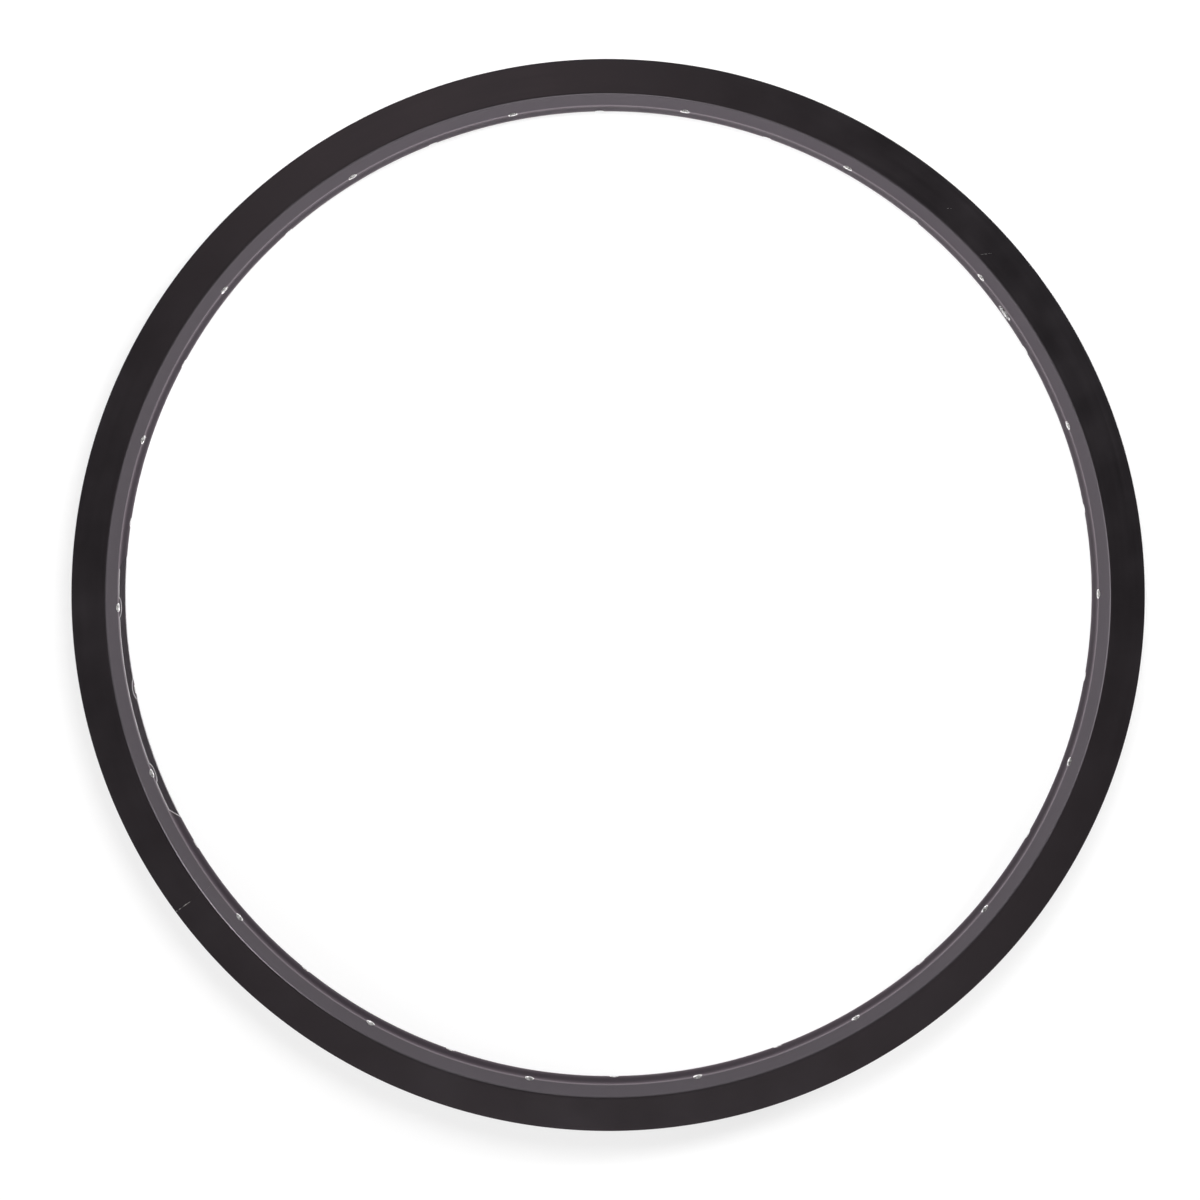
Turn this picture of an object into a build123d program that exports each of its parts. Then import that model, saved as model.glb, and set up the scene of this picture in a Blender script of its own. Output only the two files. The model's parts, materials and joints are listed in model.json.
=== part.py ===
from build123d import *
from math import degrees
import os

# Bare double-wall bicycle rim, lying flat: its axis is Z and its mid-plane is Z = 0.
# The valve hole is on +X, and the butt joint of the rolled hoop is opposite it, on -X.
# Sizes are in millimetres and degrees.

# Outside of the section
bead_seat_diameter = 559.0  # tyre seat of the 26 inch mountain size
flange_height = 6.5  # tyre seat to the top of the flange
rim_width = 36.0  # over the two sidewalls
rim_depth = 22.5  # flange top to spoke bed
sidewall_height = 18.3  # flat outer side of the hoop
bed_width = 15.4  # flat spoke bed between the two creases
corner_bevel = 0.6  # sidewall to flank

# Tyre channel
lip_bevel = 0.8  # top of the flange
hook_thickness = 3.0
hook_height = 2.4  # flange top to the foot of the hook
hook_slope = 1.2  # sloped underside of the hook
seat_width = 3.0  # ledge under the tyre bead
well_depth = 4.5  # tyre seat to the floor of the well
well_width = 23.0  # flat floor that takes the access holes

# Walls of the closed chamber
wall = 1.7
bed_extra = 0.7  # extra metal under the spoke nipples

# Holes
spoke_hole_count = 36  # in two rows that take turns
spoke_hole_diameter = 4.2
access_hole_diameter = 9.0  # lets a nipple in from the tyre side
spoke_hole_offset = 7.5  # mid-plane to each row, on the bed
spoke_lean = 5.0  # each row leans out to its own hub flange
valve_hole_diameter = 8.5
overrun = 4.0  # how far a cutter runs past the metal

# Butt joint
seam_angle = 180.0
seam_gap = 0.15
sleeve_margin = 3.0  # end of the sleeve to the nearest access hole
sleeve_wall = 1.4
sleeve_clearance = 0.05

# Places that follow from the sizes above
bead_seat_radius = bead_seat_diameter / 2
flange_radius = bead_seat_radius + flange_height
bed_radius = flange_radius - rim_depth
corner_radius = flange_radius - sidewall_height
well_radius = bead_seat_radius - well_depth
hook_foot_radius = flange_radius - hook_height
chamber_floor_radius = bed_radius + bed_extra + wall
chamber_top_radius = well_radius - wall
chamber_radius = (chamber_floor_radius + chamber_top_radius) / 2
half_width = rim_width / 2
half_bed = bed_width / 2
half_well = well_width / 2
channel_side = half_width - wall
hook_side = half_width - hook_thickness
seat_edge = channel_side - seat_width
hole_step = 360 / spoke_hole_count
row_count = spoke_hole_count // 2
sleeve_arc = hole_step - degrees((access_hole_diameter + 2 * sleeve_margin) / chamber_radius)


# Closed chamber: the outline of the box, set in by the wall.
with BuildSketch(Plane.XZ) as chamber:
    with BuildLine():
        Polyline(
            (bed_radius + bed_extra, 0),
            (bed_radius + bed_extra, half_bed),
            (corner_radius, half_width),
            (bead_seat_radius, half_width),
            (bead_seat_radius, seat_edge),
            (well_radius, half_well),
            (well_radius, 0),
            close=True,
        )
    make_face()
    mirror(about=Plane.XZ)
    offset(amount=-wall, kind=Kind.INTERSECTION, mode=Mode.REPLACE)


# Section of the hoop: one half from the bed over the flange to the well, mirrored.
with BuildSketch(Plane.XZ) as section:
    with BuildLine():
        Polyline(
            (bed_radius, 0),
            (bed_radius, half_bed),
            (corner_radius, half_width),
            (flange_radius, half_width),
            (flange_radius, hook_side),
            (hook_foot_radius, hook_side),
            (hook_foot_radius - hook_slope, channel_side),
            (bead_seat_radius, channel_side),
            (bead_seat_radius, seat_edge),
            (well_radius, half_well),
            (well_radius, 0),
            close=True,
        )
    make_face()
    mirror(about=Plane.XZ)
    chamfer(section.vertices().group_by(Axis.X)[-1], lip_bevel)
    chamfer(section.vertices().filter_by_position(Axis.X, corner_radius, corner_radius), corner_bevel)
    add(chamber.sketch_local, mode=Mode.SUBTRACT)


# Step drill of an upper spoke hole: narrow through the bed, wide from the chamber outwards.
drill_direction = Vector(1, 0, 0).rotate(Axis.Y, spoke_lean)
drill_plane = Plane((bed_radius, 0, spoke_hole_offset), (0, 1, 0), drill_direction)
with BuildPart() as upper_drill:
    with BuildSketch(drill_plane.offset(-overrun)):
        Circle(spoke_hole_diameter / 2)
    extrude(amount=rim_depth)
    with BuildSketch(drill_plane.offset(chamber_radius - bed_radius)):
        Circle(access_hole_diameter / 2)
    extrude(amount=rim_depth)


# Rolled hoop, drilled, with the hairline gap where its two ends meet.
# The two rows of holes take turns, and the lower drill is the upper one turned over.
with BuildPart() as rim_hoop:
    revolve(section.sketch, axis=Axis.Z)
    with PolarLocations(0, row_count, hole_step / 2):
        add(upper_drill.part, mode=Mode.SUBTRACT)
    with PolarLocations(0, row_count, -hole_step / 2):
        add(upper_drill.part, rotation=(180, 0, 0), mode=Mode.SUBTRACT)
    with BuildSketch(Plane.YZ):
        Circle(valve_hole_diameter / 2)
    extrude(amount=flange_radius, mode=Mode.SUBTRACT)
    with PolarLocations((flange_radius + bed_radius) / 2, 1, seam_angle):
        Box(rim_depth + overrun, seam_gap, rim_width + overrun, mode=Mode.SUBTRACT)


# Hollow plug that holds the two ends in line, a close fit in the chamber.
with BuildSketch(Plane.XZ.rotated((0, 0, seam_angle - sleeve_arc / 2))) as sleeve_section:
    add(chamber.sketch_local)
    offset(amount=-sleeve_clearance, mode=Mode.REPLACE)
    offset(amount=-sleeve_wall, mode=Mode.SUBTRACT)

with BuildPart() as joint_sleeve:
    revolve(sleeve_section.sketch, axis=Axis.Z, revolution_arc=sleeve_arc)


os.makedirs("parts", exist_ok=True)
rim_hoop.part.label = "rim_hoop"
export_step(rim_hoop.part, "parts/rim_hoop.step")
joint_sleeve.part.label = "joint_sleeve"
export_step(joint_sleeve.part, "parts/joint_sleeve.step")
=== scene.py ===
import bpy
import bmesh
import json
from math import atan2, cos, pi, radians, sin, tan
from mathutils import Euler, Matrix, Vector

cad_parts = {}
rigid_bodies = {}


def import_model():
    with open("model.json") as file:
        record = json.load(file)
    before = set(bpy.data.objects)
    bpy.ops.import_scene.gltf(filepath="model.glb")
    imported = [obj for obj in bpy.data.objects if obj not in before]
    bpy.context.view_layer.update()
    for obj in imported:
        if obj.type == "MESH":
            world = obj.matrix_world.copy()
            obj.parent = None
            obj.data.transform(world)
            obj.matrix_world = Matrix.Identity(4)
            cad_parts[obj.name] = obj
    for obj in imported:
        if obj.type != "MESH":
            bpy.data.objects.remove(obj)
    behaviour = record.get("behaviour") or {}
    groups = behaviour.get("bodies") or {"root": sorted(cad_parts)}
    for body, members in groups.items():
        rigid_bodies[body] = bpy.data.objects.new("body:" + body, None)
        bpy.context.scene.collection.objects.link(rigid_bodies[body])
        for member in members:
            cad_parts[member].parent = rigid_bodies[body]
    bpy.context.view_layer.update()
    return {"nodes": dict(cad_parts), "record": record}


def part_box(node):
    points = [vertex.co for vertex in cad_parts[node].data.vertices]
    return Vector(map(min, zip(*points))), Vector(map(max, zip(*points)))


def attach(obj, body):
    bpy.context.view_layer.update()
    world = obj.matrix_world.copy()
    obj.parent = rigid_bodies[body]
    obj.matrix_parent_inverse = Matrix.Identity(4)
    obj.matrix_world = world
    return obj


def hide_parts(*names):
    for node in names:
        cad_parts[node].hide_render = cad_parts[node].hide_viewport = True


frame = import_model()
mounts = {m["name"]: m for m in frame["record"]["mounts"]}
mm = 0.001

scene = bpy.context.scene
scene.view_settings.view_transform = "Standard"
for leftover in [o for o in bpy.data.objects if o.name in ("Cube", "Light", "Camera")]:
    bpy.data.objects.remove(leftover)

# overall sizes, read off the frame
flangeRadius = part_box("rim_hoop")[1].x
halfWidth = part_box("rim_hoop")[1].z
seatRadius = mounts["tyre_seat"]["dims"]["r_mm"] * mm
valveRadius = mounts["valve_hole"]["dims"]["r_mm"] * mm
spokeRadius = mounts["spoke_hole_upper"]["dims"]["r_mm"] * mm


# small node helpers
def addNode(tree, kind, **settings):
    node = tree.nodes.new(kind)
    for key, value in settings.items():
        setattr(node, key, value)
    return node


def mathNode(tree, operation, *values, clamp=False):
    node = addNode(tree, "ShaderNodeMath", operation=operation, use_clamp=clamp)
    for socket, value in zip(node.inputs, values):
        if isinstance(value, (int, float)):
            socket.default_value = value
        else:
            tree.links.new(value, socket)
    return node.outputs[0]


def vectorNode(tree, operation, first, second):
    node = addNode(tree, "ShaderNodeVectorMath", operation=operation)
    tree.links.new(first, node.inputs[0])
    tree.links.new(second, node.inputs[1])
    return node


def splitVector(tree, vector):
    node = addNode(tree, "ShaderNodeSeparateXYZ")
    tree.links.new(vector, node.inputs[0])
    return node.outputs


def axisDistance(tree, x, y):
    squares = mathNode(tree, "ADD", mathNode(tree, "MULTIPLY", x, x), mathNode(tree, "MULTIPLY", y, y))
    return mathNode(tree, "SQRT", squares)


def rangeNode(tree, value, low, high, newLow, newHigh):
    node = addNode(tree, "ShaderNodeMapRange")
    tree.links.new(value, node.inputs["Value"])
    for name, number in zip(("From Min", "From Max", "To Min", "To Max"), (low, high, newLow, newHigh)):
        node.inputs[name].default_value = number
    return node.outputs["Result"]


def mixColor(tree, factor, first, second):
    node = addNode(tree, "ShaderNodeMix", data_type="RGBA")
    tree.links.new(factor, node.inputs["Factor"])
    colourSockets = [socket for socket in node.inputs if socket.type == "RGBA"]
    for socket, value in zip(colourSockets, (first, second)):
        if isinstance(value, tuple):
            socket.default_value = (*value, 1)
        else:
            tree.links.new(value, socket)
    return next(socket for socket in node.outputs if socket.type == "RGBA")


def mixShaders(tree, factor, first, second):
    node = addNode(tree, "ShaderNodeMixShader")
    for value, socket in zip((factor, first.outputs[0], second.outputs[0]), node.inputs):
        tree.links.new(value, socket)
    return node.outputs[0]


def newMaterial(name):
    material = bpy.data.materials.new(name)
    material.use_nodes = True
    tree = material.node_tree
    return material, tree, tree.nodes["Principled BSDF"]


def newGroup(name, inputs, outputs):
    group = bpy.data.node_groups.new(name, "ShaderNodeTree")
    for socketName, value in inputs.items():
        kind = "NodeSocketVector" if isinstance(value, tuple) else "NodeSocketFloat"
        socket = group.interface.new_socket(socketName, in_out="INPUT", socket_type=kind)
        socket.default_value = value
    for socketName in outputs:
        group.interface.new_socket(socketName, in_out="OUTPUT", socket_type="NodeSocketFloat")
    return group, group.nodes.new("NodeGroupInput"), group.nodes.new("NodeGroupOutput")


def placeGroup(tree, group, **values):
    node = addNode(tree, "ShaderNodeGroup", node_tree=group)
    for name, value in values.items():
        node.inputs[name].default_value = value
    return node


grainLook = {
    "roundStretch": 4.0,  # how fast a line changes along its length, for each radian round the hoop
    "lineDetail": 3.0,
    "patchDetail": 4.0,
}


# drawing lines of the extrusion, which run round the hoop, and soft cloudy patches
def makeExtrusionGrain():
    s = grainLook
    tree, groupIn, groupOut = newGroup("extrusionGrain", {"linesPerMetre": 900.0, "patchScale": 45.0},
                                       ("lines", "patches"))
    place = addNode(tree, "ShaderNodeTexCoord").outputs["Object"]
    x, y, z = splitVector(tree, place)
    across = addNode(tree, "ShaderNodeCombineXYZ")
    for value, socket in zip((axisDistance(tree, x, y), z), across.inputs):
        tree.links.new(mathNode(tree, "MULTIPLY", value, groupIn.outputs["linesPerMetre"]), socket)
    angle = mathNode(tree, "ARCTAN2", y, x)
    tree.links.new(mathNode(tree, "MULTIPLY", angle, s["roundStretch"]), across.inputs["Z"])
    lines = addNode(tree, "ShaderNodeTexNoise")
    lines.inputs["Scale"].default_value = 1.0
    lines.inputs["Detail"].default_value = s["lineDetail"]
    tree.links.new(across.outputs[0], lines.inputs["Vector"])
    patches = addNode(tree, "ShaderNodeTexNoise")
    patches.inputs["Detail"].default_value = s["patchDetail"]
    tree.links.new(place, patches.inputs["Vector"])
    tree.links.new(groupIn.outputs["patchScale"], patches.inputs["Scale"])
    tree.links.new(lines.outputs["Fac"], groupOut.inputs["lines"])
    tree.links.new(patches.outputs["Fac"], groupOut.inputs["patches"])
    return tree


scratchLook = {
    "noiseMiddle": 0.5,
    "widthSwing": 6.0,  # how far the noise widens or closes the streak, in half widths
}


# one scratch or chip: a thin streak from start to finish, broken up by a fine noise
def makeScratch():
    s = scratchLook
    inputs = {"start": (0.0, 0.0, 0.0), "finish": (0.0, 0.0, 0.0), "halfWidth": 0.2 * mm, "breakUp": 0.5,
              "grainScale": 1400.0}
    tree, groupIn, groupOut = newGroup("scratch", inputs, ("mask",))
    start, finish, halfStreak, breakUp, grainScale = [groupIn.outputs[name] for name in inputs]
    place = addNode(tree, "ShaderNodeTexCoord").outputs["Object"]
    away = vectorNode(tree, "SUBTRACT", place, start).outputs["Vector"]
    run = vectorNode(tree, "SUBTRACT", finish, start).outputs["Vector"]
    along = mathNode(tree, "DIVIDE", vectorNode(tree, "DOT_PRODUCT", away, run).outputs["Value"],
                     vectorNode(tree, "DOT_PRODUCT", run, run).outputs["Value"], clamp=True)
    foot = addNode(tree, "ShaderNodeVectorMath", operation="SCALE")
    tree.links.new(run, foot.inputs[0])
    tree.links.new(along, foot.inputs["Scale"])
    gap = vectorNode(tree, "DISTANCE", away, foot.outputs["Vector"]).outputs["Value"]
    noise = addNode(tree, "ShaderNodeTexNoise")
    tree.links.new(grainScale, noise.inputs["Scale"])
    tree.links.new(place, noise.inputs["Vector"])
    uneven = mathNode(tree, "SUBTRACT", noise.outputs["Fac"], s["noiseMiddle"])
    ragged = mathNode(tree, "MULTIPLY", uneven, breakUp)
    swing = mathNode(tree, "MULTIPLY", halfStreak, s["widthSwing"])
    width = mathNode(tree, "ADD", halfStreak, mathNode(tree, "MULTIPLY", ragged, swing))
    tree.links.new(mathNode(tree, "GREATER_THAN", width, gap), groupOut.inputs["mask"])
    return tree


extrusionGrain = makeExtrusionGrain()
scratch = makeScratch()
print("node groups ready")

blackFinish = {
    "dark": (0.0770, 0.0695, 0.0772),
    "pale": (0.0897, 0.0805, 0.0893),
    # painted shade: the flat of the bed a little darker than the rest
    "bed": (0.075, 0.067, 0.073),
    "chip": (0.82, 0.81, 0.80),
    # painted highlight along the creases, which also stands for black rubbed thin
    "wearAndHighlight": (0.230, 0.203, 0.222),
    "wearAndHighlightFlank": 1.0 * mm,
    "wearAndHighlightBed": 6.5 * mm,
    "bedMaskDepth": 4.0 * mm,
    "linesPerMetre": 900.0,
    "patchScale": 38.0,
    "roughness": (0.29, 0.37),
    "lineShare": 0.6,  # of the lines beside the patches, in the roughness
    "grainRange": (0.5, 1.1),
    "lineBump": 0.03,
    "bumpDistance": 0.3 * mm,
    "edgeTint": (0.40, 0.385, 0.40),
    # marks on the upper sidewall: angle from the valve in degrees and radius in mm at both ends,
    # then half width in mm, raggedness and grain
    "marks": (((13.23, 274.5), (13.15, 275.0), 0.06, 0.6, 1400.0),
              ((12.95, 275.8), (12.92, 276.0), 0.06, 0.6, 1400.0),
              ((6.98, 269.7), (6.31, 274.2), 0.06, 0.9, 1400.0),
              ((6.66, 271.7), (6.58, 272.3), 0.11, 0.5, 1400.0),
              ((180.0, 276.2), (180.0, 285.3), 0.10, 2.0, 520.0)),
}


# two masks: one is 1 on the flat of the spoke bed, which gets a slightly darker colour as painted shade,
# and the other along its two creases, a painted highlight that also stands for black rubbed thin, fading
# quickly up the flank and slowly across the bed
def bedMasks(tree):
    s = blackFinish
    x, y, z = splitVector(tree, addNode(tree, "ShaderNodeTexCoord").outputs["Object"])
    inner = mathNode(tree, "LESS_THAN", axisDistance(tree, x, y), bedRadius + s["bedMaskDepth"])
    up = mathNode(tree, "SUBTRACT", mathNode(tree, "ABSOLUTE", z), hoopSizes["bedWidth"] / 2)
    onFlank = rangeNode(tree, up, 0.0, s["wearAndHighlightFlank"], 1.0, 0.0)
    onBed = rangeNode(tree, up, -s["wearAndHighlightBed"], 0.0, 0.0, 1.0)
    wearAndHighlight = mathNode(tree, "MULTIPLY", onFlank, mathNode(tree, "MULTIPLY", onBed, onBed))
    flat = mathNode(tree, "LESS_THAN", up, 0.0)
    return mathNode(tree, "MULTIPLY", inner, flat), mathNode(tree, "MULTIPLY", inner, wearAndHighlight)


# one mask for all the marks
def markMask(tree):
    whole = None
    for first, last, markWidth, breakUp, grainScale in blackFinish["marks"]:
        ends = []
        for angle, radius in (first, last):
            turn = radians(angle)
            ends.append((radius * mm * cos(turn), radius * mm * sin(turn), halfWidth))
        mark = placeGroup(tree, scratch, start=ends[0], finish=ends[1], halfWidth=markWidth * mm,
                          breakUp=breakUp, grainScale=grainScale)
        mask = mark.outputs["mask"]
        whole = mask if whole is None else mathNode(tree, "MAXIMUM", whole, mask)
    return whole


def makeBlackAnodised():
    s = blackFinish
    material, tree, shader = newMaterial("blackAnodised")
    grain = placeGroup(tree, extrusionGrain, linesPerMetre=s["linesPerMetre"], patchScale=s["patchScale"])
    lines, patches = grain.outputs["lines"], grain.outputs["patches"]
    onBed, wearAndHighlight = bedMasks(tree)
    body = mixColor(tree, patches, s["dark"], s["pale"])
    # painted shade: the flat of the bed is given a darker colour
    body = mixColor(tree, onBed, body, s["bed"])
    # painted highlight along the creases, together with black rubbed thin
    body = mixColor(tree, wearAndHighlight, body, s["wearAndHighlight"])
    body = mixColor(tree, markMask(tree), body, s["chip"])
    tree.links.new(body, shader.inputs["Base Color"])
    both = mathNode(tree, "MULTIPLY_ADD", lines, s["lineShare"], patches)
    tree.links.new(rangeNode(tree, both, *s["grainRange"], *s["roughness"]), shader.inputs["Roughness"])
    bump = addNode(tree, "ShaderNodeBump")
    bump.inputs["Strength"].default_value = s["lineBump"]
    bump.inputs["Distance"].default_value = s["bumpDistance"]
    tree.links.new(lines, bump.inputs["Height"])
    tree.links.new(bump.outputs["Normal"], shader.inputs["Normal"])
    shader.inputs["Metallic"].default_value = 1.0
    shader.inputs["Specular Tint"].default_value = (*s["edgeTint"], 1)
    return material


# a piece's metals: each runs between two colours by the patches, with its roughness by the lines
# what all of them share stands in the dictionary itself, and their own values under "metals"
def mottledMetals(piece):
    materials = []
    for name, own in piece["metals"].items():
        s = {**piece, **own}
        material, tree, shader = newMaterial(name)
        grain = placeGroup(tree, extrusionGrain, linesPerMetre=s["linesPerMetre"],
                           patchScale=s["patchScale"])
        mottle = rangeNode(tree, grain.outputs["patches"], *s["patchRange"], 0.0, 1.0)
        tree.links.new(mixColor(tree, mottle, s["dark"], s["pale"]), shader.inputs["Base Color"])
        rough = rangeNode(tree, grain.outputs["lines"], *s["lineRange"], *s["roughness"])
        tree.links.new(rough, shader.inputs["Roughness"])
        shader.inputs["Metallic"].default_value = s["metallic"]
        shader.inputs["Specular Tint"].default_value = (*s["edgeTint"], 1)
        materials.append(material)
    return materials


# bare metal in the holes: dull drilled walls, bright countersunk edges, and a torn surface at the valve
bareFinish = {
    "linesPerMetre": 4000.0,
    "patchRange": (0.38, 0.58),
    "lineRange": (0.3, 0.7),
    "roughness": (0.40, 0.60),
    "edgeTint": (1.0, 1.0, 1.0),
    "metals": {
        "bareAlloy": {"dark": (0.40, 0.394, 0.39), "pale": (0.97, 0.96, 0.955), "metallic": 0.25,
                      "patchScale": 600.0},
        "brightEdge": {"dark": (0.78, 0.77, 0.765), "pale": (0.97, 0.96, 0.955), "metallic": 0.85,
                       "patchScale": 600.0},
        "tornEdge": {"dark": (0.10, 0.095, 0.10), "pale": (0.72, 0.71, 0.71), "metallic": 0.50,
                     "patchScale": 850.0},
    },
}

hoopSizes = {
    "rimDepth": 22.5 * mm,
    "sidewallHeight": 18.3 * mm,
    "bedWidth": 15.4 * mm,
    "hookThickness": 3.0 * mm,
    "hookHeight": 2.4 * mm,
    "hookSlope": 1.2 * mm,
    "seatWidth": 3.0 * mm,
    "wellDepth": 4.5 * mm,
    "wellWidth": 23.0 * mm,
    "wall": 1.7 * mm,
    "bedExtra": 0.7 * mm,
    # rounds, from the crease outwards
    "creaseRound": 2.5 * mm,
    "cornerRound": 1.6 * mm,
    "lipRound": 0.25 * mm,
    "hookLipRound": 1.1 * mm,
    "hookRound": 0.4 * mm,
    "footRound": 0.7 * mm,
    "wellRound": 2.0 * mm,
    "chamberRound": 0.8 * mm,
    # fineness of the mesh: steps round the hoop, and degrees to a step of a round
    "steps": 480,
    "arcStep": 15.0,
    "sharpAngle": 24.0,  # degrees, above which an edge is shaded sharp
    "seamGap": 0.02 * mm,
    "seamAngle": 180.0,
}
bedRadius = flangeRadius - hoopSizes["rimDepth"]
wellRadius = seatRadius - hoopSizes["wellDepth"]


# corners (r, z, round) to points, with each rounded corner as an arc
def roundCorners(corners, closed=False):
    points = []
    count = len(corners)
    for i, (r, z, rounding) in enumerate(corners):
        here = Vector((r, z))
        if rounding == 0 or (not closed and i in (0, count - 1)):
            points.append(here)
            continue
        before = (Vector(corners[i - 1][:2]) - here).normalized()
        after = (Vector(corners[(i + 1) % count][:2]) - here).normalized()
        turn = pi - before.angle(after)
        setBack = rounding * tan(turn / 2)
        middle = here + (before + after).normalized() * rounding / cos(turn / 2)
        arcStart = here + before * setBack - middle
        sign = 1 if before.x * after.y - before.y * after.x < 0 else -1
        pieces = max(2, round(turn / radians(hoopSizes["arcStep"])))
        for k in range(pieces + 1):
            points.append(middle + Matrix.Rotation(sign * turn * k / pieces, 2) @ arcStart)
    return points


# outline moved inwards by the wall, every side parallel to itself
def insetOutline(corners, wall):
    count = len(corners)
    sides = []
    for i in range(count):
        start, end = Vector(corners[i]), Vector(corners[(i + 1) % count])
        along = (end - start).normalized()
        sides.append((start + Vector((-along.y, along.x)) * wall, along))
    inner = []
    for i in range(count):
        (p, d), (q, e) = sides[i - 1], sides[i]
        t = ((q.x - p.x) * e.y - (q.y - p.y) * e.x) / (d.x * e.y - d.y * e.x)  # where the two sides cross
        inner.append(p + d * t)
    return inner


def hoopOutlines():
    s = hoopSizes
    cornerRadius = flangeRadius - s["sidewallHeight"]
    footRadius = flangeRadius - s["hookHeight"]
    halfBed = s["bedWidth"] / 2
    halfWell = s["wellWidth"] / 2
    channelSide = halfWidth - s["wall"]
    hookSide = halfWidth - s["hookThickness"]
    seatEdge = channelSide - s["seatWidth"]
    half = roundCorners((
        (bedRadius, 0, 0),
        (bedRadius, halfBed, s["creaseRound"]),
        (cornerRadius, halfWidth, s["cornerRound"]),
        (flangeRadius, halfWidth, s["lipRound"]),
        (flangeRadius, hookSide, s["hookLipRound"]),
        (footRadius, hookSide, s["hookRound"]),
        (footRadius - s["hookSlope"], channelSide, s["footRound"]),
        (seatRadius, channelSide, s["footRound"]),
        (seatRadius, seatEdge, s["footRound"]),
        (wellRadius, halfWell, s["wellRound"]),
        (wellRadius, 0, 0),
    ))
    outside = half + [Vector((p.x, -p.y)) for p in reversed(half[1:-1])]
    halfBox = ((bedRadius + s["bedExtra"], halfBed), (cornerRadius, halfWidth), (seatRadius, halfWidth),
               (seatRadius, seatEdge), (wellRadius, halfWell))
    box = list(reversed([*halfBox, *((r, -z) for r, z in reversed(halfBox))]))
    chamber = roundCorners([(*p, s["chamberRound"]) for p in insetOutline(box, s["wall"])], closed=True)
    return outside, chamber


# the hoop runs from one side of the seam round to the other, with closed ends
def spinHoop(outlines):
    s = hoopSizes
    halfGap = s["seamGap"] / 2 / flangeRadius
    first = radians(s["seamAngle"]) + halfGap
    sweep = 2 * pi - 2 * halfGap
    bm = bmesh.new()
    endEdges = [[], []]
    for outline in outlines:
        rings = []
        for i in range(s["steps"] + 1):
            turn = first + sweep * i / s["steps"]
            rings.append([bm.verts.new((p.x * cos(turn), p.x * sin(turn), p.y)) for p in outline])
        count = len(outline)
        for low, high in zip(rings, rings[1:]):
            for k in range(count):
                bm.faces.new((low[k], low[(k + 1) % count], high[(k + 1) % count], high[k]))
        for side, ring in zip(endEdges, (rings[0], rings[-1])):
            side.extend(bm.edges.get((ring[k], ring[(k + 1) % count])) for k in range(count))
    for side in endEdges:
        bmesh.ops.triangle_fill(bm, edges=side, use_beauty=True)
    bmesh.ops.recalc_face_normals(bm, faces=bm.faces)
    return bm


def meshObject(name, bm, materials):
    mesh = bpy.data.meshes.new(name)
    bm.to_mesh(mesh)
    bm.free()
    for material in materials:
        mesh.materials.append(material)
    piece = bpy.data.objects.new(name, mesh)
    scene.collection.objects.link(piece)
    return piece


holeSizes = {
    "count": 36,
    "accessRadius": 4.5 * mm,
    "offset": 7.5 * mm,
    "lean": 5.0,
    "flare": 0.50 * mm,
    "flareDepth": 0.52 * mm,
    "valveFlare": 0.75 * mm,
    "valveFlareDepth": 0.75 * mm,
    "flareStart": 0.1 * mm,  # how far off the bed each flare begins
    "overrun": 4.0 * mm,
    "sides": 40,
    "valveSides": 56,
}


# turn and row of each spoke hole: the upper row, 1, and the lower row, -1, take turns
def spokeHoles():
    count = holeSizes["count"]
    return [(2 * pi / count * (k + 0.5), 1 if k % 2 == 0 else -1) for k in range(count)]


# turned solid along local +X, from (distance, radius) steps
# half a side of turn keeps its corners off the lines of the hoop's mesh
# the slots are the material numbers of its walls and of its flare, which is its second stretch
def turnedSolid(bm, steps, sides, place, wallSlot, flareSlot):
    rings = []
    for distance, radius in steps:
        ring = []
        for k in range(sides):
            turn = 2 * pi * (k + 0.5) / sides
            ring.append(bm.verts.new(place @ Vector((distance, radius * cos(turn), radius * sin(turn)))))
        rings.append(ring)
    for i, (low, high) in enumerate(zip(rings, rings[1:])):
        for k in range(sides):
            face = bm.faces.new((low[k], low[(k + 1) % sides], high[(k + 1) % sides], high[k]))
            face.material_index = flareSlot if i == 1 else wallSlot
    bm.faces.new(list(reversed(rings[0])))
    bm.faces.new(rings[-1])


def drillCutters():
    s = holeSizes
    depth = hoopSizes["rimDepth"]
    middle = (bedRadius + wellRadius) / 2 - bedRadius
    finishes = [bareAlloy, brightEdge, tornEdge]
    wallSlot, edgeSlot, tornSlot = range(len(finishes))
    spokeMouth = spokeRadius + s["flare"]
    spokeSteps = ((-s["overrun"], spokeMouth), (-s["flareStart"], spokeMouth),
                  (s["flareDepth"], spokeRadius), (middle, spokeRadius),
                  (middle, s["accessRadius"]), (depth, s["accessRadius"]))
    valveMouth = valveRadius + s["valveFlare"]
    valveSteps = ((-s["overrun"], valveMouth), (-s["flareStart"], valveMouth),
                  (s["valveFlareDepth"], valveRadius), (depth, valveRadius))
    bm = bmesh.new()
    for turn, row in spokeHoles():
        place = (Matrix.Rotation(turn, 4, "Z")
                 @ Matrix.Translation((bedRadius, 0, row * s["offset"]))
                 @ Matrix.Rotation(row * radians(s["lean"]), 4, "Y"))
        turnedSolid(bm, spokeSteps, s["sides"], place, wallSlot, edgeSlot)
    valvePlace = Matrix.Translation((bedRadius, 0, 0))
    turnedSolid(bm, valveSteps, s["valveSides"], valvePlace, tornSlot, tornSlot)
    bmesh.ops.recalc_face_normals(bm, faces=bm.faces)
    return meshObject("drillCutters", bm, finishes)


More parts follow.
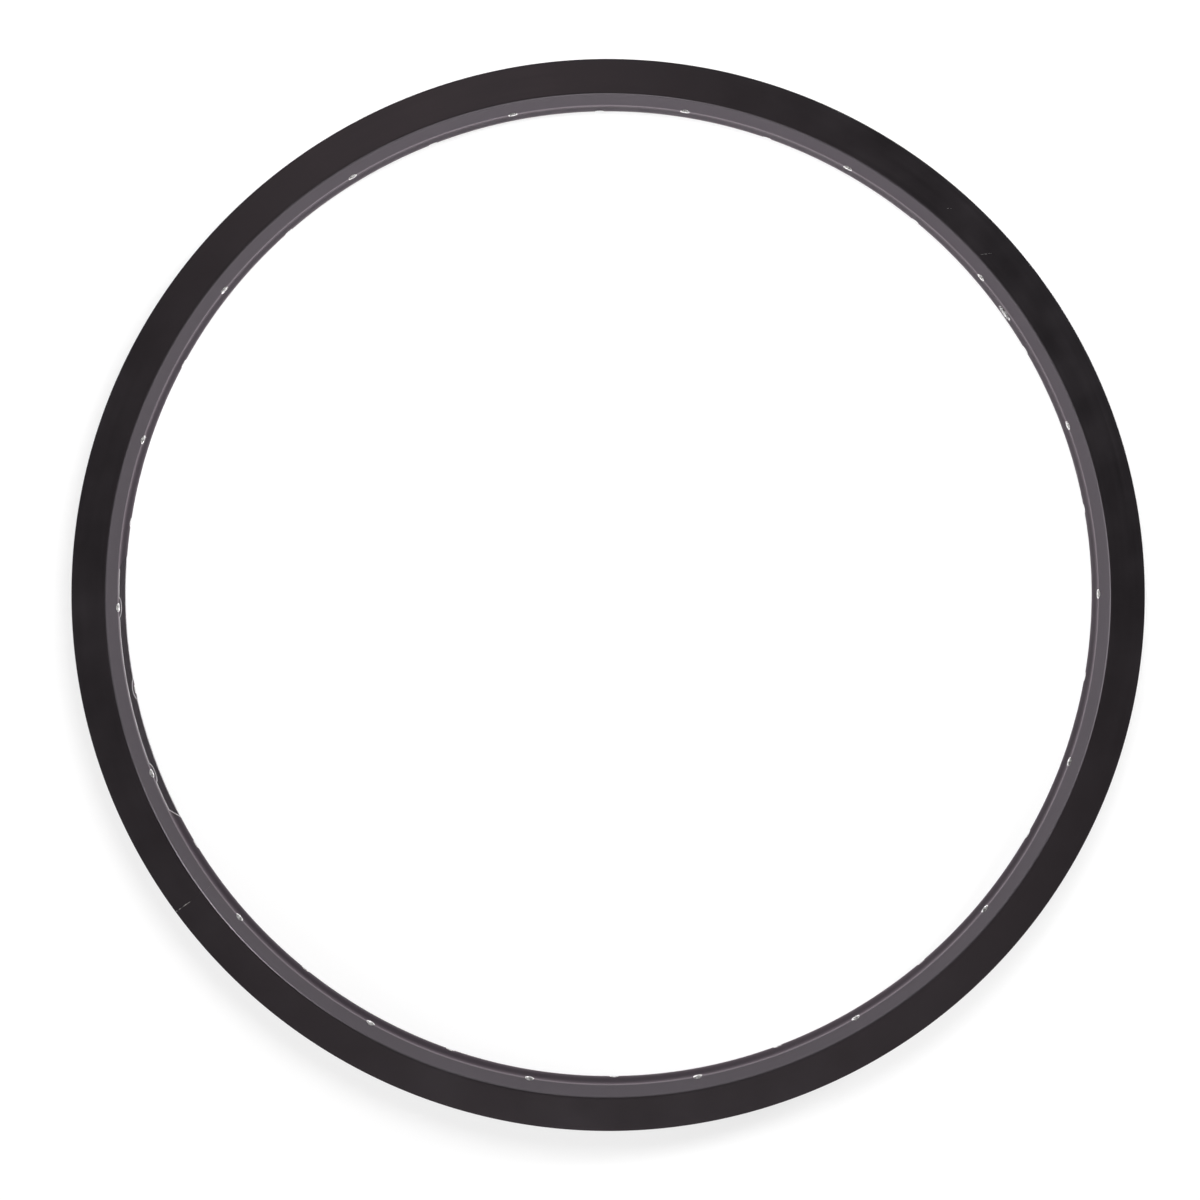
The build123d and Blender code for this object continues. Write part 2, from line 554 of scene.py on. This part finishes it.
def makeHoop():
    hoop = meshObject("rimHoop", spinHoop(hoopOutlines()), [blackAnodised])
    cutters = drillCutters()
    cut = hoop.modifiers.new("holes", "BOOLEAN")
    cut.operation = "DIFFERENCE"
    cut.solver = "EXACT"
    cut.material_mode = "TRANSFER"
    cut.object = cutters
    graph = bpy.context.evaluated_depsgraph_get()
    drilled = bpy.data.meshes.new_from_object(hoop.evaluated_get(graph))
    hoop.modifiers.remove(cut)
    hoop.data = drilled
    bpy.data.objects.remove(cutters)
    drilled.polygons.foreach_set("use_smooth", [True] * len(drilled.polygons))
    drilled.set_sharp_from_angle(angle=radians(hoopSizes["sharpAngle"]))
    even = hoop.modifiers.new("evenShading", "WEIGHTED_NORMAL")
    even.keep_sharp = True
    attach(hoop, "root")
    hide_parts("rim_hoop")
    print("hoop:", len(drilled.polygons), "faces,", [m.name for m in drilled.materials])


blackAnodised = makeBlackAnodised()
bareAlloy, brightEdge, tornEdge = mottledMetals(bareFinish)
print("materials ready")
makeHoop()

# the plug in the joint keeps its solid and gets a bare finish
sleeve = frame["nodes"]["joint_sleeve"]
sleeve.data.materials.clear()
sleeve.data.materials.append(bareAlloy)

# plain sticker on the spoke bed: angles from the valve in degrees
stickerSizes = {
    "start": 140.4,
    "end": 169.8,
    "halfWidth": 7.1 * mm,
    "slant": 7.0 * mm,
    "biteRadius": 5.2 * mm,
    "biteSides": 14,
    "step": 2.4 * mm,
    "border": 1.1 * mm,
    "endThinning": 2.2,
    "thickness": 0.05 * mm,
    "solidShare": 0.8,  # of the thickness, and the rest is a gap behind it
    # its two foils, with soft rubbed patches and fine lines from handling
    "linesPerMetre": 2600.0,
    "patchScale": 240.0,
    "patchRange": (0.3, 0.7),
    "lineRange": (0.3, 0.7),
    "metallic": 1.0,
    "metals": {
        "stickerFilm": {"dark": (0.036, 0.032, 0.035), "pale": (0.054, 0.048, 0.053),
                        "roughness": (0.28, 0.40), "edgeTint": (0.45, 0.44, 0.45)},
        "stickerSilver": {"dark": (0.50, 0.49, 0.50), "pale": (0.74, 0.73, 0.74),
                          "roughness": (0.30, 0.42), "edgeTint": (0.72, 0.71, 0.72)},
    },
}


# one long edge, from low to high distance along the bed, with a round bite at each hole
def stickerEdge(low, high, row, bites):
    s = stickerSizes
    edge = row * s["halfWidth"]
    hole = row * holeSizes["offset"]
    reach = (s["biteRadius"] ** 2 - (hole - edge) ** 2) ** 0.5
    first = atan2(edge - hole, -reach)
    last = atan2(edge - hole, reach)
    points = []
    start = low
    for bite in [*bites, None]:
        stop = high if bite is None else bite - reach
        count = max(1, round((stop - start) / s["step"]))
        points += [Vector((start + (stop - start) * i / count, edge)) for i in range(count + 1)]
        if bite is None:
            break
        for i in range(1, s["biteSides"]):
            turn = first + (last - first) * i / s["biteSides"]
            points.append(Vector((bite, hole)) + s["biteRadius"] * Vector((cos(turn), sin(turn))))
        start = bite + reach
    return points


# cut out flat, with a silver border, then bent round the bed
# it is cut stretched, so that the border comes out thinner across the ends
def makeSticker():
    s = stickerSizes
    radius = bedRadius - s["thickness"]
    middle = radians((s["start"] + s["end"]) / 2)
    half = radians(s["end"] - s["start"]) / 2 * radius
    bites = {1: [], -1: []}
    for turn, row in spokeHoles():
        along = (turn - middle) * radius
        if abs(along) + s["biteRadius"] < half:
            bites[row].append(along)
    upper = stickerEdge(-half, half, 1, bites[1])
    lower = stickerEdge(-half - s["slant"], half + s["slant"], -1, bites[-1])
    bm = bmesh.new()
    stretch = s["endThinning"]
    field = bm.faces.new([bm.verts.new((p.x * stretch, p.y, 0)) for p in upper + lower[::-1]])
    field.normal_update()
    border = bmesh.ops.inset_region(bm, faces=[field], thickness=s["border"], use_boundary=True,
                                    use_even_offset=True)
    materials = mottledMetals(s)
    filmSlot, silverSlot = range(len(materials))
    for face in border["faces"]:
        centre = face.calc_center_median()
        firstEnd = centre.x < -half * stretch and abs(centre.y) < s["halfWidth"] / 2
        face.material_index = filmSlot if firstEnd else silverSlot  # the border leaves the first end out
    bmesh.ops.triangulate(bm, faces=[field])
    for vert in bm.verts:
        turn = middle + vert.co.x / stretch / radius
        vert.co = (radius * cos(turn), radius * sin(turn), vert.co.y)
    sticker = meshObject("bedSticker", bm, materials)
    solid = sticker.modifiers.new("thickness", "SOLIDIFY")
    solid.thickness = s["solidShare"] * s["thickness"]
    solid.offset = -1.0
    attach(sticker, "root")
    print("sticker:", len(sticker.data.polygons), "faces")


makeSticker()

# the shares are how much plain white the camera and the reflections see
# round the object the camera's share leaves room for its shadow, and it grows to all white further out
floorLook = {
    "size": 9.0,
    "colour": (0.97, 0.97, 0.97),
    "cameraShare": 0.65,
    "glossyShare": 0.15,
    "shadowReach": 0.45,
    "whiteReach": 1.1,
}


def makeFloor():
    s = floorLook
    bm = bmesh.new()
    bmesh.ops.create_grid(bm, x_segments=1, y_segments=1, size=s["size"] / 2)
    material, tree, shader = newMaterial("whiteFloor")
    tree.nodes.remove(shader)
    paint = addNode(tree, "ShaderNodeBsdfDiffuse")
    paint.inputs["Color"].default_value = (*s["colour"], 1)
    glow = addNode(tree, "ShaderNodeEmission")
    rays = addNode(tree, "ShaderNodeLightPath")
    away = addNode(tree, "ShaderNodeVectorMath", operation="LENGTH")
    tree.links.new(addNode(tree, "ShaderNodeTexCoord").outputs["Object"], away.inputs[0])
    share = rangeNode(tree, away.outputs["Value"], s["shadowReach"], s["whiteReach"], s["cameraShare"], 1.0)
    mirrored = mathNode(tree, "MAXIMUM", rays.outputs["Is Glossy Ray"], rays.outputs["Is Transmission Ray"])
    seen = mathNode(tree, "MULTIPLY", rays.outputs["Is Camera Ray"], share)
    white = mathNode(tree, "MAXIMUM", seen, mathNode(tree, "MULTIPLY", mirrored, s["glossyShare"]))
    tree.links.new(mixShaders(tree, white, paint, glow), tree.nodes["Material Output"].inputs["Surface"])
    floor = meshObject("floor", bm, [material])
    floor.location.z = -halfWidth
    return floor


worldLook = {"colour": (1.0, 1.0, 1.0), "top": 0.048, "side": 1.08, "lowEdge": 0.30, "highEdge": 0.60}


# dim overhead, bright round the sides, plain white where the camera sees past the floor
def makeWorld():
    s = worldLook
    world = bpy.data.worlds.new("studio")
    scene.world = world
    world.use_nodes = True
    tree = world.node_tree
    tree.nodes.clear()
    height = splitVector(tree, addNode(tree, "ShaderNodeTexCoord").outputs["Generated"])["Z"]
    level = rangeNode(tree, height, s["lowEdge"], s["highEdge"], s["side"], s["top"])
    around = addNode(tree, "ShaderNodeBackground")
    tree.links.new(level, around.inputs["Strength"])
    plain = addNode(tree, "ShaderNodeBackground")
    for background in (around, plain):
        background.inputs["Color"].default_value = (*s["colour"], 1)
    seen = addNode(tree, "ShaderNodeLightPath").outputs["Is Camera Ray"]
    out = addNode(tree, "ShaderNodeOutputWorld")
    tree.links.new(mixShaders(tree, seen, around, plain), out.inputs["Surface"])


# lamps: turn is the angle from the valve in degrees, seen from above
# the three small ones overhead, which the sidewall mirrors, are slightly warm
overheadLamp = {"reach": 0.75, "height": 2.3, "size": 0.9, "colour": (1.0, 0.885, 0.863)}
lamps = {
    "keyLamp": {"turn": 0.0, "reach": 2.0, "height": 1.5, "size": 0.5, "power": 30.0},
    "sideLamp": {"turn": 145.0, "reach": 2.3, "height": 1.3, "size": 1.6, "power": 25.0},
    "upperLamp": {"turn": 80.0, "power": 1.54, **overheadLamp},
    "leftLamp": {"turn": 205.0, "power": 0.82, **overheadLamp},
    "lowerLamp": {"turn": 268.0, "power": 0.82, **overheadLamp},
    "fillLamp": {"turn": 235.0, "reach": 2.0, "height": 1.4, "size": 1.6, "power": 15.5},
    "floorLamp": {"turn": 42.0, "reach": 0.22, "height": 0.66, "size": 0.32, "power": 5.4},
}


# the floor lamp looks straight down and is linked to the floor alone, and the object's shadow
# falls to the lower left, away from it
def makeLamps(floor):
    floorAlone = bpy.data.collections.new("floorAlone")
    floorAlone.objects.link(floor)
    for name, s in lamps.items():
        lamp = bpy.data.lights.new(name, "AREA")
        lamp.shape = "DISK"
        lamp.size = s["size"]
        lamp.energy = s["power"]
        if "colour" in s:
            lamp.color = s["colour"]
        holder = bpy.data.objects.new(name, lamp)
        turn = radians(s["turn"])
        holder.location = (s["reach"] * cos(turn), s["reach"] * sin(turn), s["height"])
        holder.rotation_mode = "QUATERNION"
        holder.rotation_quaternion = (-holder.location).to_track_quat("-Z", "Y")
        holder.visible_camera = False
        if name == "floorLamp":
            holder.rotation_quaternion = (1, 0, 0, 0)
            holder.light_linking.receiver_collection = floorAlone
        scene.collection.objects.link(holder)


cameraView = {
    "distance": 1.0436,
    "aside": (0.0068, 0.0100),
    "tilt": -2.678,
    "pan": 0.8845,
    "roll": -35.857,
    "sensor": 36.0,
    "lens": 58.78,
    "shift": (-0.0155, -0.0141),
    "nearClip": 0.01,
}


# looks down the axis, a little to one side, with the valve hole at the upper right
def makeCamera():
    s = cameraView
    data = bpy.data.cameras.new("photoCamera")
    data.sensor_width = s["sensor"]
    data.lens = s["lens"]
    data.shift_x, data.shift_y = s["shift"]
    data.clip_start = s["nearClip"]
    camera = bpy.data.objects.new("photoCamera", data)
    camera.rotation_euler = Euler((radians(s["tilt"]), radians(s["pan"]), radians(s["roll"])))
    back = camera.rotation_euler.to_matrix() @ Vector((*s["aside"], s["distance"]))
    camera.location = Vector((0, 0, halfWidth)) + back
    scene.collection.objects.link(camera)
    scene.camera = camera


makeWorld()
makeLamps(makeFloor())
makeCamera()
print("floor, light and camera ready")
